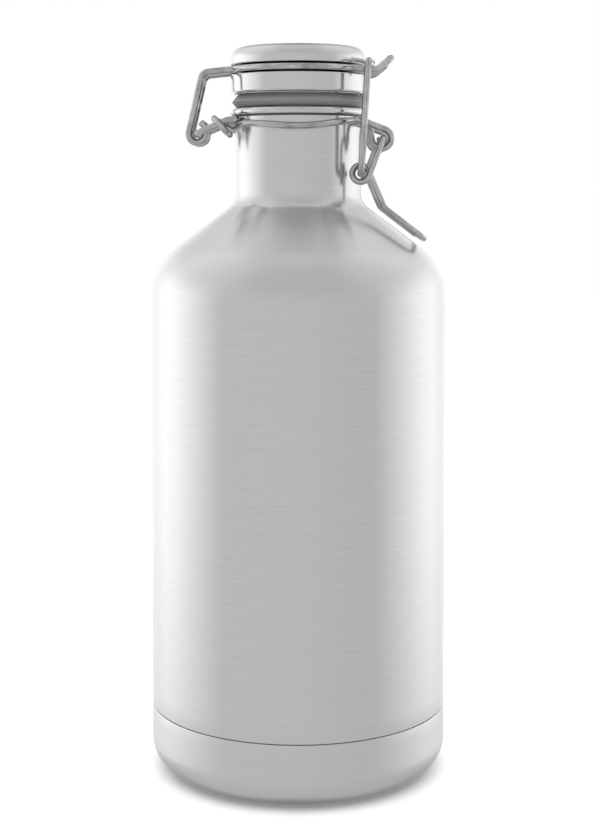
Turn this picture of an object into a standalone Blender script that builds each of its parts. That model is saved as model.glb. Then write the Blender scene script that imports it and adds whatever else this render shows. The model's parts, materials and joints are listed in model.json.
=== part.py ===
"""Insulated steel growler with an over-centre wire closure.

A double-walled bottle stands on +Z with its base on Z = 0. The cap swings on a wire hinge
at -X, and a lever and link at +X pull it down on its gasket. Lengths below are millimetres.
"""

import math

import bmesh
import bpy
from mathutils import Matrix, Vector

MM = 0.001

# Driving dimensions of the bottle.
BODY_RADIUS = 60.0
SHELL_WALL = 0.6
SHOULDER_CENTRE_RADIUS = 33.0
SHOULDER_CENTRE_Z = 191.7
SHOULDER_SWEEP_DEG = 53.0
NECK_RADIUS = 25.45
NECK_FILLET = 8.0
NECK_TOP_Z = 265.4
SEAM_Z = 26.7
FIT_GAP = 0.3

# Base cup and the parts that it hides.
BASE_CORNER = 12.6
BASE_WALL = 0.8
BASE_RECESS_RADIUS = 35.0
BASE_RECESS_DEPTH = 1.5
SPIGOT_RADIUS = 58.8
SPIGOT_BOTTOM_Z = 12.8
FLOOR_RIM_Z = 13.2
FLOOR_Z = 9.0
FLOOR_WALL = 0.8
PORT_STEP = 1.6
PORT_RADIUS = 1.5
PORT_SEAL_RADIUS = 4.0
GETTER_RADIUS = 4.0
GETTER_HEIGHT = 2.0
GETTER_X = 30.0

# Inner vessel with its rolled lip.
VACUUM_SPACE = 3.8
VESSEL_WALL = 0.6
VESSEL_FLOOR_Z = 17.0
VESSEL_CORNER = 9.0
BORE_RADIUS = 22.0
LIP_TOP_Z = 269.0
LIP_NOSE = 1.65
LIP_RADIUS = 27.6

# Cap.
CAP_RADIUS = 27.5
CAP_BOTTOM_Z = 274.8
CAP_TOP_Z = 293.6
CAP_SKIN = 0.7
CAP_EDGE = 4.9
GROOVE_RADIUS = 25.0
GROOVE_LOW_Z = 282.5
GROOVE_HIGH_Z = 286.3
CORE_RADIUS = 24.0
FOAM_RADIUS = 16.0
PLUG_RADIUS = 20.5
PLUG_BOTTOM_Z = 264.5
GASKET_TIP_RADIUS = 27.0
GASKET_ROOT_RADIUS = 24.7

# Wires: diameters, and the (X, Z) centres that the closure turns about.
HEAVY_WIRE = 2.8
COLLAR_WIRE = 2.6
LEVER_WIRE = 2.5
HINGE = (-40.6, 258.5)
PIVOT = (33.65, 257.0)
LINK_PIN = (24.7, 242.6)
NECK_WIRE_RADIUS = 27.2
NECK_WIRE_Z = 264.1
FRONT_DIP = 2.8
HINGE_DIP = 1.6

# Resolution of the turned and swept shapes.
TURN_STEPS = 32
ARC_STEP_DEG = 20.0
RING_STEP_DEG = 12.0
COIL_STEP_DEG = 28.0
CORNER_STEP_DEG = 30.0
WIRE_RESOLUTION = 2
SMOOTH_ANGLE = math.radians(35.0)

STEEL = (0.62, 0.62, 0.62)
WIRE_STEEL = (0.55, 0.55, 0.56)
DARK_STEEL = (0.42, 0.42, 0.43)
SILICONE = (0.19, 0.19, 0.20)
WHITE_PLASTIC = (0.78, 0.78, 0.76)
FOAM = (0.85, 0.83, 0.74)
ADHESIVE = (0.10, 0.10, 0.11)
GLASS_SOLDER = (0.20, 0.24, 0.26)
GETTER_GREY = (0.30, 0.29, 0.28)


def clear_scene():
    """Remove every object that the scene starts with."""
    for old in list(bpy.data.objects):
        bpy.data.objects.remove(old, do_unlink=True)


def material(name, color, roughness, metallic):
    """Make a plain Principled material."""
    mat = bpy.data.materials.new(name)
    mat.use_nodes = True
    shader = mat.node_tree.nodes["Principled BSDF"]
    shader.inputs["Base Color"].default_value = (*color, 1.0)
    shader.inputs["Roughness"].default_value = roughness
    shader.inputs["Metallic"].default_value = metallic
    return mat


def pivot_empty(name, centre, parent=None):
    """Put an empty on a joint's axis; centre is its (X, Z) place."""
    empty = bpy.data.objects.new(name, None)
    bpy.context.collection.objects.link(empty)
    here = Vector((centre[0], 0.0, centre[1])) * MM
    if parent is None:
        empty.location = here
    else:
        empty.parent = parent
        empty.location = here - parent.location
    return empty


def add_object(name, data, mat, pivot, pivot_place):
    """Link an object whose data is in local coordinates of its pivot."""
    data.materials.append(mat)
    obj = bpy.data.objects.new(name, data)
    bpy.context.collection.objects.link(obj)
    obj.parent = pivot
    obj.location = Vector() if pivot else pivot_place * MM
    return obj


def place_of(centre):
    """World place of a pivot's (X, Z) centre, or the origin."""
    return Vector((centre[0], 0.0, centre[1])) if centre else Vector()


# ---------------------------------------------------------------- turned parts


def arc(centre, radius, start_deg, end_deg, step_deg=ARC_STEP_DEG):
    """Points of an arc; angle 0 points along the first axis."""
    count = max(2, math.ceil(abs(end_deg - start_deg) / step_deg))
    points = []
    for i in range(count + 1):
        angle = math.radians(start_deg + (end_deg - start_deg) * i / count)
        x = centre[0] + radius * math.cos(angle)
        z = centre[1] + radius * math.sin(angle)
        points.append((x, z))
    return points


def turned(name, profile, mat, pivot=None, centre=None):
    """Spin a closed (radius, Z) outline about the Z axis."""
    place = place_of(centre)
    bm = bmesh.new()
    ring = [bm.verts.new((r, 0.0, z)) for r, z in profile]
    edges = []
    for i, vert in enumerate(ring):
        after = ring[(i + 1) % len(ring)]
        on_axis = profile[i][0] == 0.0 and profile[(i + 1) % len(ring)][0] == 0.0
        if not on_axis:
            edges.append(bm.edges.new((vert, after)))
    bmesh.ops.spin(
        bm,
        geom=ring + edges,
        cent=(0.0, 0.0, 0.0),
        axis=(0.0, 0.0, 1.0),
        angle=math.tau,
        steps=TURN_STEPS,
        use_merge=True,
    )
    bmesh.ops.remove_doubles(bm, verts=bm.verts, dist=0.001)
    bmesh.ops.recalc_face_normals(bm, faces=bm.faces)
    bmesh.ops.translate(bm, verts=bm.verts, vec=-place)
    bmesh.ops.scale(bm, verts=bm.verts, vec=(MM, MM, MM))
    mesh = bpy.data.meshes.new(name)
    bm.to_mesh(mesh)
    bm.free()
    mesh.shade_smooth()
    mesh.set_sharp_from_angle(angle=SMOOTH_ANGLE)
    return add_object(name, mesh, mat, pivot, place)


def bottle_outline(inset, neck_radius, top_z):
    """Side, shoulder, cone and neck of a bottle wall, from the side up to the neck's top.

    inset is how far the wall's face lies inside the outer shell's face.
    """
    centre = (SHOULDER_CENTRE_RADIUS, SHOULDER_CENTRE_Z)
    shoulder_radius = BODY_RADIUS - SHOULDER_CENTRE_RADIUS - inset
    points = arc(centre, shoulder_radius, 0.0, SHOULDER_SWEEP_DEG)
    slope = math.radians(SHOULDER_SWEEP_DEG)
    normal = Vector((math.cos(slope), math.sin(slope)))
    fillet = NECK_FILLET + inset
    fillet_r = neck_radius + fillet
    cone_offset = Vector(points[-1]).dot(normal) + fillet
    fillet_z = (cone_offset - fillet_r * normal.x) / normal.y
    points += arc((fillet_r, fillet_z), fillet, 180.0 + SHOULDER_SWEEP_DEG, 180.0)
    points.append((neck_radius, top_z))
    return points


def make_outer_shell(mat):
    """Outer wall, with a spigot below the seam for the base cup."""
    jog_z = SEAM_Z + FIT_GAP
    outer = [(SPIGOT_RADIUS, SPIGOT_BOTTOM_Z), (SPIGOT_RADIUS, jog_z), (BODY_RADIUS, jog_z)]
    outer += bottle_outline(0.0, NECK_RADIUS, NECK_TOP_Z)
    inner = [(SPIGOT_RADIUS - SHELL_WALL, SPIGOT_BOTTOM_Z)]
    inner.append((SPIGOT_RADIUS - SHELL_WALL, jog_z + SHELL_WALL))
    inner.append((BODY_RADIUS - SHELL_WALL, jog_z + 2.0 * SHELL_WALL))
    inner += bottle_outline(SHELL_WALL, NECK_RADIUS - SHELL_WALL, NECK_TOP_Z)
    return turned("outer_shell", outer + inner[::-1], mat)


def make_inner_vessel(mat):
    """Inner bottle, whose lip rolls outward over the neck."""
    outer_face = SHELL_WALL + VACUUM_SPACE
    inner_face = outer_face + VESSEL_WALL
    wall_radius = BODY_RADIUS - outer_face
    corner_r = wall_radius - VESSEL_CORNER
    corner_z = VESSEL_FLOOR_Z + VESSEL_CORNER
    nose_r = LIP_RADIUS - LIP_NOSE
    nose_z = LIP_TOP_Z - LIP_NOSE
    outer = [(0.0, VESSEL_FLOOR_Z)]
    outer += arc((corner_r, corner_z), VESSEL_CORNER, -90.0, 0.0)
    outer += bottle_outline(outer_face, BORE_RADIUS + VESSEL_WALL, LIP_TOP_Z - 2.0 * LIP_NOSE)
    outer += arc((nose_r, nose_z), LIP_NOSE, -90.0, 90.0, 36.0)
    inner = [(0.0, VESSEL_FLOOR_Z + VESSEL_WALL)]
    inner += arc((corner_r, corner_z), VESSEL_CORNER - VESSEL_WALL, -90.0, 0.0)
    inner += bottle_outline(inner_face, BORE_RADIUS, LIP_TOP_Z - VESSEL_WALL)
    inner.append((BORE_RADIUS + 0.5 * VESSEL_WALL, LIP_TOP_Z))
    return turned("inner_vessel", outer + inner[::-1], mat)


def make_vacuum_floor(mat):
    """Dished steel floor welded inside the spigot, with the evacuation port at its centre."""
    rim = SPIGOT_RADIUS - SHELL_WALL - FIT_GAP
    ledge = rim - 6.0
    dish = ledge - (FLOOR_RIM_Z - FLOOR_Z)
    dimple = 2.0 * PORT_SEAL_RADIUS
    low = [(PORT_RADIUS, FLOOR_Z + PORT_STEP), (dimple, FLOOR_Z + PORT_STEP)]
    low += [(dimple + PORT_STEP, FLOOR_Z), (dish, FLOOR_Z)]
    low += [(ledge, FLOOR_RIM_Z), (rim, FLOOR_RIM_Z)]
    high = [(r, z + FLOOR_WALL) for r, z in low]
    return turned("vacuum_floor", low + high[::-1], mat)


def make_port_seal(mat):
    """Button of solder that closes the evacuation port from below."""
    top = FLOOR_Z + PORT_STEP - FIT_GAP
    low = top - 1.4
    outline = [(0.0, low), (PORT_SEAL_RADIUS - 0.7, low), (PORT_SEAL_RADIUS, low + 0.7)]
    outline += [(PORT_SEAL_RADIUS, top), (0.0, top)]
    return turned("port_seal", outline, mat)


def make_base_cup(mat):
    """Cup that covers the bottle's foot; its flat ring is what the bottle stands on."""
    corner_r = BODY_RADIUS - BASE_CORNER
    ramp = BASE_RECESS_RADIUS + 2.0 * BASE_RECESS_DEPTH
    outer = [(0.0, BASE_RECESS_DEPTH), (BASE_RECESS_RADIUS, BASE_RECESS_DEPTH), (ramp, 0.0)]
    outer += arc((corner_r, BASE_CORNER), BASE_CORNER, -90.0, 0.0)
    outer.append((BODY_RADIUS, SEAM_Z))
    inner = [(0.0, BASE_RECESS_DEPTH + BASE_WALL)]
    inner += [(BASE_RECESS_RADIUS, BASE_RECESS_DEPTH + BASE_WALL), (ramp, BASE_WALL)]
    inner += arc((corner_r, BASE_CORNER), BASE_CORNER - BASE_WALL, -90.0, 0.0)
    inner.append((BODY_RADIUS - BASE_WALL, SEAM_Z))
    return turned("base_cup", outer + inner[::-1], mat)


def make_base_adhesive(mat):
    """Ring of adhesive that bonds the cup under the shell's spigot."""
    low = 6.6
    high = SPIGOT_BOTTOM_Z - FIT_GAP
    near = 52.2
    far = 56.2
    outline = [(near, low), (far - 2.0, low), (far, low + 2.5), (far, high), (near, high)]
    return turned("base_adhesive", outline, mat)


def make_cap_shell(mat, pivot):
    """Steel skin of the cap, with the groove that the cap wire lies in."""
    foot = 1.2
    lip = 0.6
    crown = CAP_TOP_Z - CAP_EDGE
    edge_r = CAP_RADIUS - CAP_EDGE
    skin = CAP_SKIN
    outer = [(CAP_RADIUS - foot - 0.6, CAP_BOTTOM_Z)]
    outer += arc((CAP_RADIUS - foot, CAP_BOTTOM_Z + foot), foot, -90.0, 0.0, 45.0)
    outer += arc((CAP_RADIUS - lip, GROOVE_LOW_Z - lip), lip, 0.0, 90.0, 45.0)
    outer += [(GROOVE_RADIUS, GROOVE_LOW_Z), (GROOVE_RADIUS, GROOVE_HIGH_Z)]
    outer += arc((CAP_RADIUS - lip, GROOVE_HIGH_Z + lip), lip, -90.0, 0.0, 45.0)
    outer += arc((edge_r, crown), CAP_EDGE, 0.0, 90.0)
    outer.append((0.0, CAP_TOP_Z))
    inner = [(CAP_RADIUS - foot - 0.6, CAP_BOTTOM_Z + skin)]
    inner.append((CAP_RADIUS - skin, CAP_BOTTOM_Z + foot))
    inner += [(CAP_RADIUS - skin, GROOVE_LOW_Z - skin), (GROOVE_RADIUS - skin, GROOVE_LOW_Z - skin)]
    inner += [(GROOVE_RADIUS - skin, GROOVE_HIGH_Z + skin)]
    inner += [(CAP_RADIUS - skin, GROOVE_HIGH_Z + skin)]
    inner += arc((edge_r, crown), CAP_EDGE - skin, 0.0, 90.0, 45.0)
    inner.append((0.0, CAP_TOP_Z - skin))
    return turned("cap_shell", outer + inner[::-1], mat, pivot, HINGE)


def make_cap_core(mat, pivot):
    """Moulded core of the cap, open below for its foam."""
    top = CAP_TOP_Z - CAP_SKIN - FIT_GAP
    wall = FOAM_RADIUS + FIT_GAP
    boss = PLUG_RADIUS - CAP_SKIN - FIT_GAP
    flange_z = CAP_BOTTOM_Z + 0.8
    low = PLUG_BOTTOM_Z + 3.0
    bevel = 3.4
    outline = [(wall, low), (boss, low), (boss, flange_z), (CORE_RADIUS, flange_z)]
    outline += arc((CORE_RADIUS - bevel, top - bevel), bevel, 0.0, 90.0, 45.0)
    outline += [(0.0, top), (0.0, top - 3.0), (wall, top - 3.0)]
    return turned("cap_core", outline, mat, pivot, HINGE)


def make_cap_foam(mat, pivot):
    """Plug of insulating foam inside the core."""
    low = PLUG_BOTTOM_Z + CAP_SKIN + FIT_GAP
    high = CAP_TOP_Z - CAP_SKIN - 3.0 - 2.0 * FIT_GAP
    outline = [(0.0, low), (FOAM_RADIUS, low), (FOAM_RADIUS, high), (0.0, high)]
    return turned("cap_foam", outline, mat, pivot, HINGE)


def make_cap_pan(mat, pivot):
    """Steel pan under the cap: a flange above the gasket, and a short plug inside the mouth."""
    skin = 0.6
    flange = CORE_RADIUS + 1.2
    flange_z = CAP_BOTTOM_Z - 0.2
    shoulder_z = PLUG_BOTTOM_Z + 1.6
    taper = PLUG_RADIUS - 1.2
    outer = [(0.0, PLUG_BOTTOM_Z), (taper, PLUG_BOTTOM_Z), (PLUG_RADIUS, shoulder_z)]
    outer += [(PLUG_RADIUS, flange_z), (flange, flange_z), (flange, flange_z + skin)]
    inner = [(0.0, PLUG_BOTTOM_Z + skin), (taper - 0.3, PLUG_BOTTOM_Z + skin)]
    inner += [(PLUG_RADIUS - skin, shoulder_z + 0.3), (PLUG_RADIUS - skin, flange_z + skin)]
    return turned("cap_pan", outer + inner[::-1], mat, pivot, HINGE)


def make_gasket(mat, pivot):
    """Silicone ring round the plug, with a V-shaped outer edge."""
    bore = PLUG_RADIUS + FIT_GAP
    low = LIP_TOP_Z + FIT_GAP
    high = CAP_BOTTOM_Z - 0.2 - FIT_GAP
    tip_z = low + 2.2
    outline = [(bore, low), (GASKET_ROOT_RADIUS + 0.3, low)]
    outline += [(GASKET_TIP_RADIUS - 0.1, tip_z - 0.15), (GASKET_TIP_RADIUS - 0.1, tip_z + 0.15)]
    outline += [(GASKET_ROOT_RADIUS, high), (bore, high)]
    return turned("gasket", outline, mat, pivot, HINGE)


def make_getter(mat):
    """Getter pill on the vacuum side of the floor."""
    low = FLOOR_Z + FLOOR_WALL + FIT_GAP
    bm = bmesh.new()
    bmesh.ops.create_cone(
        bm,
        cap_ends=True,
        segments=24,
        radius1=GETTER_RADIUS,
        radius2=GETTER_RADIUS,
        depth=GETTER_HEIGHT,
        matrix=Matrix.Translation((0.0, 0.0, 0.5 * GETTER_HEIGHT)),
    )
    bmesh.ops.scale(bm, verts=bm.verts, vec=(MM, MM, MM))
    mesh = bpy.data.meshes.new("getter")
    bm.to_mesh(mesh)
    bm.free()
    mesh.shade_smooth()
    mesh.set_sharp_from_angle(angle=SMOOTH_ANGLE)
    return add_object("getter", mesh, mat, None, Vector((GETTER_X, 0.0, low)))


def make_getter_clip(mat):
    """Bent strap that is spot-welded to the floor and holds the getter down."""
    width = 3.0
    thickness = 0.4
    inside = GETTER_RADIUS + 0.8
    foot = 4.0
    low = FLOOR_Z + FLOOR_WALL + FIT_GAP
    high = GETTER_HEIGHT + FIT_GAP
    under = [(-inside - foot, 0.0), (-inside, 0.0), (-inside, high), (inside, high)]
    under += [(inside, 0.0), (inside + foot, 0.0)]
    over = [(-inside - foot, thickness), (-inside - thickness, thickness)]
    over += [(-inside - thickness, high + thickness), (inside + thickness, high + thickness)]
    over += [(inside + thickness, thickness), (inside + foot, thickness)]
    bm = bmesh.new()
    verts = [bm.verts.new((0.5 * width, y, z)) for y, z in under + over[::-1]]
    face = bm.faces.new(verts)
    sweep = bmesh.ops.extrude_face_region(bm, geom=[face])
    moved = [item for item in sweep["geom"] if isinstance(item, bmesh.types.BMVert)]
    bmesh.ops.translate(bm, verts=moved, vec=(-width, 0.0, 0.0))
    bmesh.ops.recalc_face_normals(bm, faces=bm.faces)
    bmesh.ops.scale(bm, verts=bm.verts, vec=(MM, MM, MM))
    mesh = bpy.data.meshes.new("getter_clip")
    bm.to_mesh(mesh)
    bm.free()
    return add_object("getter_clip", mesh, mat, None, Vector((GETTER_X, 0.0, low)))


# ----------------------------------------------------------------------- wires


def rounded(points, radius, closed=False):
    """Replace each sharp corner of a path by an arc that touches both its sides."""
    sharp = math.radians(COIL_STEP_DEG + 5.0)
    count = len(points)
    path = []
    for i, corner in enumerate(points):
        inner = closed or 0 < i < count - 1
        if not inner:
            path.append(corner)
            continue
        back = points[i - 1] - corner
        ahead = points[(i + 1) % count] - corner
        turn = math.pi - back.angle(ahead)
        if turn < sharp:
            path.append(corner)
            continue
        reach = min(radius * math.tan(0.5 * turn), 0.48 * back.length, 0.48 * ahead.length)
        bend = reach / math.tan(0.5 * turn)
        start = corner + back.normalized() * reach
        end = corner + ahead.normalized() * reach
        middle = (back.normalized() + ahead.normalized()).normalized()
        centre = corner + middle * (bend / math.cos(0.5 * turn))
        first = (start - centre).normalized()
        last = (end - centre).normalized()
        steps = max(2, math.ceil(math.degrees(turn) / CORNER_STEP_DEG))
        for k in range(steps + 1):
            path.append(centre + first.slerp(last, k / steps) * bend)
    return path


def wire(name, path, diameter, mat, pivot=None, centre=None, closed=False):
    """Sweep a round wire along a path."""
    place = place_of(centre)
    curve = bpy.data.curves.new(name, "CURVE")
    curve.dimensions = "3D"
    curve.bevel_depth = 0.5 * diameter * MM
    curve.bevel_resolution = WIRE_RESOLUTION
    curve.use_fill_caps = True
    spline = curve.splines.new("POLY")
    spline.points.add(len(path) - 1)
    for point, here in zip(spline.points, path):
        point.co = (*((here - place) * MM), 1.0)
    spline.use_cyclic_u = closed
    spline.use_smooth = True
    return add_object(name, curve, mat, pivot, place)


def tangent_angle(centre, radius, outside, side):
    """Angle (degrees) at which a line from a point outside a circle touches it."""
    dx = outside[0] - centre[0]
    dz = outside[1] - centre[1]
    reach = math.degrees(math.acos(radius / math.hypot(dx, dz)))
    return math.degrees(math.atan2(dz, dx)) + side * reach


def coil(centre, radius, start_deg, end_deg, y_start, y_end):
    """Turns about an axis along Y, moving sideways as they go."""
    flat = arc(centre, radius, start_deg, end_deg, COIL_STEP_DEG)
    last = len(flat) - 1
    points = []
    for i, (x, z) in enumerate(flat):
        points.append(Vector((x, y_start + (y_end - y_start) * i / last, z)))
    return points


def ring_points(radius, start_deg, end_deg, height):
    """Arc round the bottle's axis; height gives Z from the angle in degrees."""
    flat = arc((0.0, 0.0), radius, start_deg, end_deg, RING_STEP_DEG)
    count = len(flat) - 1
    points = []
    for i, (x, y) in enumerate(flat):
        angle = start_deg + (end_deg - start_deg) * i / count
        points.append(Vector((x, y, height(angle))))
    return points


def both_halves(near):
    """Join a near half (Y < 0) that ends at the plane Y = 0 to its mirror image."""
    far = [Vector((p.x, -p.y, p.z)) for p in reversed(near)]
    return near + far


def make_cap_wire(mat, pivot):
    """Bail that holds the cap: two curls on the hinge bar, a split ring, and the front tab."""
    leg_y = -9.0
    curl = 3.35
    corner = (-38.35, 283.0)
    ring_radius = 26.8
    ring_z = 0.5 * (GROOVE_LOW_Z + GROOVE_HIGH_Z)
    tab_y = -16.5
    touch = tangent_angle(HINGE, curl, corner, 1.0)
    right = (HINGE[0] + curl, HINGE[1])
    end = [Vector((right[0] - 1.9, leg_y, right[1] + 4.9))]
    end.append(Vector((right[0] + 0.2, leg_y, right[1] + 2.8)))
    near = end + coil(HINGE, curl, 360.0, touch, leg_y, leg_y)
    near.append(Vector((corner[0], leg_y, corner[1])))
    first = 180.0 + math.degrees(math.asin(-leg_y / ring_radius))
    last = 360.0 - math.degrees(math.asin(-tab_y / ring_radius))
    near += ring_points(ring_radius, first, last, lambda angle: ring_z)
    near.append(Vector((24.0, tab_y, ring_z - 0.1)))
    near.append(Vector((27.6, tab_y, ring_z - 0.6)))
    near.append(Vector((31.4, tab_y, ring_z - 0.6)))
    near.append(Vector((36.8, tab_y, ring_z + 4.0)))
    return wire("cap_wire", rounded(both_halves(near), 3.2), HEAVY_WIRE, mat, pivot, HINGE)


def make_hinge_bail(mat):
    """Closed loop that carries the hinge bar and hugs the neck behind it."""
    leg_y = -12.2
    neck = 180.0 + math.degrees(math.asin(-leg_y / NECK_WIRE_RADIUS))
    near = [Vector((HINGE[0], leg_y, HINGE[1]))]
    near.append(Vector((-28.2, leg_y, NECK_WIRE_Z - 0.1)))
    hug = ring_points(NECK_WIRE_RADIUS, neck, 360.0 - neck, lambda angle: NECK_WIRE_Z)
    far = [Vector((p.x, -p.y, p.z)) for p in reversed(near)]
    path = rounded(near + hug + far, 2.2, closed=True)
    return wire("hinge_bail", path, HEAVY_WIRE, mat, closed=True)


def collar_height(angle_deg):
    """Height of the collar wire: highest beside the latch, lowest in front and behind."""
    angle = math.radians(angle_deg)
    hinge_side = max(0.0, -math.cos(angle)) ** 2
    return NECK_WIRE_Z - FRONT_DIP * math.sin(angle) ** 4 - HINGE_DIP * hinge_side


def hinge_wrap():
    """Slanted oval turn of the collar wire's near end round a leg of the hinge bail."""
    centre = Vector((-30.9, -12.2, 261.8))
    along = Vector((-0.67, 0.0, 0.74)).normalized()
    to_neck = Vector((0.92, 0.0, 0.39)).normalized()
    long_half = 3.9
    short_half = 3.1
    pitch = 3.1
    start = -150.0
    end = 192.0
    settled = -45.0
    steps = 14
    points = []
    for i in range(steps + 1):
        turn = start + (end - start) * i / steps
        angle = math.radians(turn)
        shift = max(0.0, (settled - turn) / (settled - start))
        point = centre + along * long_half * math.cos(angle)
        point.y -= short_half * math.sin(angle)
        points.append(point + to_neck * pitch * shift)
    return points


def make_collar_wire(mat):
    """Wire round the neck: a turn round each hinge leg, and an eye for each end of the lever."""
    eye_centre = (33.1, 256.5)
    eye_radius = 3.9
    leg_y = -17.0
    return_y = -13.85
    leave = 360.0 - math.degrees(math.asin(-leg_y / NECK_WIRE_RADIUS))
    arrive = 360.0 - math.degrees(math.asin(-return_y / NECK_WIRE_RADIUS))
    return_z = 262.8
    near = hinge_wrap()[::-1]
    near += ring_points(NECK_WIRE_RADIUS, 219.0, leave, collar_height)
    near.append(Vector((24.0, leg_y, NECK_WIRE_Z)))
    touch = tangent_angle(eye_centre, eye_radius, (24.0, NECK_WIRE_Z), -1.0)
    near += coil(eye_centre, eye_radius, touch, -180.0, leg_y, return_y)
    near.append(Vector((28.9, return_y, 259.9)))
    near += ring_points(NECK_WIRE_RADIUS, arrive, 360.0, lambda angle: return_z)[:-1]
    return wire("collar_wire", rounded(both_halves(near), 1.8), COLLAR_WIRE, mat)


def make_link_bail(mat, pivot):
    """Link that hooks over the cap wire's tab and hangs in the lever's coils."""
    side_y = -23.0
    end_y = -15.6
    top_z = 286.9
    shoulder_x = 27.4
    hook = (29.25, -12.0)
    near = [Vector((LINK_PIN[0], end_y, LINK_PIN[1]))]
    near.append(Vector((LINK_PIN[0], side_y, LINK_PIN[1])))
    near.append(Vector((shoulder_x, side_y, top_z)))
    near.append(Vector((hook[0], hook[1], top_z)))
    return wire("link_bail", rounded(both_halves(near), 2.6), HEAVY_WIRE, mat, pivot, LINK_PIN)


def make_lever_wire(mat, pivot):
    """Lever: two pivot ends, a coil at each side for the link, and a U-shaped handle."""
    pin_end_y = -12.3
    strand_y = -20.0
    arm_y = -17.2
    coil_radius = 3.35
    bend = (34.2, 229.0)
    tip = (50.1, 216.8)
    enter = tangent_angle(LINK_PIN, coil_radius, PIVOT, -1.0)
    leave = tangent_angle(LINK_PIN, coil_radius, bend, 1.0) - 360.0
    near = [Vector((PIVOT[0], pin_end_y, PIVOT[1])), Vector((PIVOT[0], strand_y, PIVOT[1]))]
    near += coil(LINK_PIN, coil_radius, enter, leave, strand_y, arm_y)
    near.append(Vector((bend[0], arm_y, bend[1])))
    near.append(Vector((tip[0], arm_y, tip[1])))
    return wire("lever_wire", rounded(both_halves(near), 3.5), LEVER_WIRE, mat, pivot, PIVOT)


def main():
    """Build the whole growler."""
    clear_scene()
    brushed = material("brushed_steel", STEEL, 0.35, 1.0)
    satin = material("base_steel", STEEL, 0.42, 1.0)
    inside = material("vessel_steel", STEEL, 0.28, 1.0)
    hidden = material("floor_steel", DARK_STEEL, 0.45, 1.0)
    capped = material("cap_steel", STEEL, 0.33, 1.0)
    wires = material("wire_steel", WIRE_STEEL, 0.18, 1.0)
    silicone = material("silicone", SILICONE, 0.55, 0.0)
    plastic = material("core_plastic", WHITE_PLASTIC, 0.5, 0.0)
    foam = material("foam", FOAM, 0.9, 0.0)
    adhesive = material("adhesive", ADHESIVE, 0.5, 0.0)
    solder = material("port_solder", GLASS_SOLDER, 0.3, 0.0)
    getter = material("getter_alloy", GETTER_GREY, 0.7, 1.0)

    make_outer_shell(brushed)
    make_inner_vessel(inside)
    make_vacuum_floor(hidden)
    make_port_seal(solder)
    make_getter(getter)
    make_getter_clip(hidden)
    make_base_adhesive(adhesive)
    make_base_cup(satin)

    cap_axis = pivot_empty("cap_hinge_axis", HINGE)
    make_cap_shell(capped, cap_axis)
    make_cap_core(plastic, cap_axis)
    make_cap_foam(foam, cap_axis)
    make_cap_pan(capped, cap_axis)
    make_gasket(silicone, cap_axis)
    make_cap_wire(wires, cap_axis)

    make_hinge_bail(wires)
    make_collar_wire(wires)

    lever_axis = pivot_empty("lever_pivot_axis", PIVOT)
    make_lever_wire(wires, lever_axis)
    link_axis = pivot_empty("link_swing_axis", LINK_PIN, lever_axis)
    make_link_bail(wires, link_axis)


main()
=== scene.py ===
"""Looks of the insulated steel growler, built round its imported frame.

Every part that shows gets a fine mesh in the place of its CAD node, with the same dimensions,
and every part gets a procedural material. Lengths are millimetres until a mesh is made.
"""

import json
import math

import bpy
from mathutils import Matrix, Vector


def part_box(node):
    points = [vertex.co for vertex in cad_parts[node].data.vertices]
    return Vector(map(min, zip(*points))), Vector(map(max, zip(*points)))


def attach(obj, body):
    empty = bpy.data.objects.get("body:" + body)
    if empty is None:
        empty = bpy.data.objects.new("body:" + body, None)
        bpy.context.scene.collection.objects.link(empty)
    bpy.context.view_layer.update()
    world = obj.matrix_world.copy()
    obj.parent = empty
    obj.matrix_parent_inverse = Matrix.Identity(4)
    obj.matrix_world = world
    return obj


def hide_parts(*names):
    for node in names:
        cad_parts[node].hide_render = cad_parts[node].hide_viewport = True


MM = 0.001

# Resolution of the fine meshes.
TURN_STEPS = 160
ARC_STEP_DEG = 5.0
RING_STEP_DEG = 4.0
COIL_STEP_DEG = 9.0
CORNER_STEP_DEG = 9.0
SMALLEST_CORNER_DEG = 18.0
WIRE_SECTION = 20
SMOOTH_ANGLE = math.radians(40.0)

# Bottle.
SHELL_WALL = 0.6
SHOULDER_CENTRE_RADIUS = 33.0
SHOULDER_CENTRE_Z = 191.7
SHOULDER_SWEEP_DEG = 53.0
NECK_RADIUS = 25.45
NECK_FILLET = 8.0
FIT_GAP = 0.3
SEAM_ROUND = 0.22
SPIGOT_RADIUS = 58.8

# Base cup.
BASE_CORNER = 12.6
BASE_WALL = 0.8
BASE_RECESS_RADIUS = 35.0
BASE_RECESS_DEPTH = 1.5
BEAD_RADIUS = 24.0
BEAD_HALF_WIDTH = 1.6
BEAD_HEIGHT = 0.45

# Inner vessel with its rolled lip.
VACUUM_SPACE = 3.8
VESSEL_WALL = 0.6
VESSEL_FLOOR_Z = 17.0
VESSEL_CORNER = 9.0
BORE_RADIUS = 22.0
LIP_NOSE = 1.65
LIP_RADIUS = 27.6

# Cap.
CAP_SKIN = 0.7
CAP_EDGE = 4.9
CAP_FOOT = 1.2
CAP_LIP = 0.6
GROOVE_RADIUS = 25.0
GROOVE_LOW_Z = 282.5
GROOVE_HIGH_Z = 286.3
PLUG_RADIUS = 20.5
GASKET_TIP_RADIUS = 27.0
GASKET_ROOT_RADIUS = 24.7

# Wires.
HEAVY_WIRE = 2.8
COLLAR_WIRE = 2.6
LEVER_WIRE = 2.5
END_CHAMFER = 0.35
NECK_WIRE_RADIUS = 27.2
NECK_WIRE_Z = 264.1
FRONT_DIP = 2.8
HINGE_DIP = 1.6

# Brushed steel: sizes of its marks in metres, and how far each one shifts the tone.
FINE_LINE = (0.00032, 0.010)
COARSE_LINE = (0.0022, 0.045)
CLOUDS_PER_M = 26.0
FINE_TONE = 0.30
COARSE_TONE = 0.05
CLOUD_TONE = 0.05
SCUFF_TONE = 0.04

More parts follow.
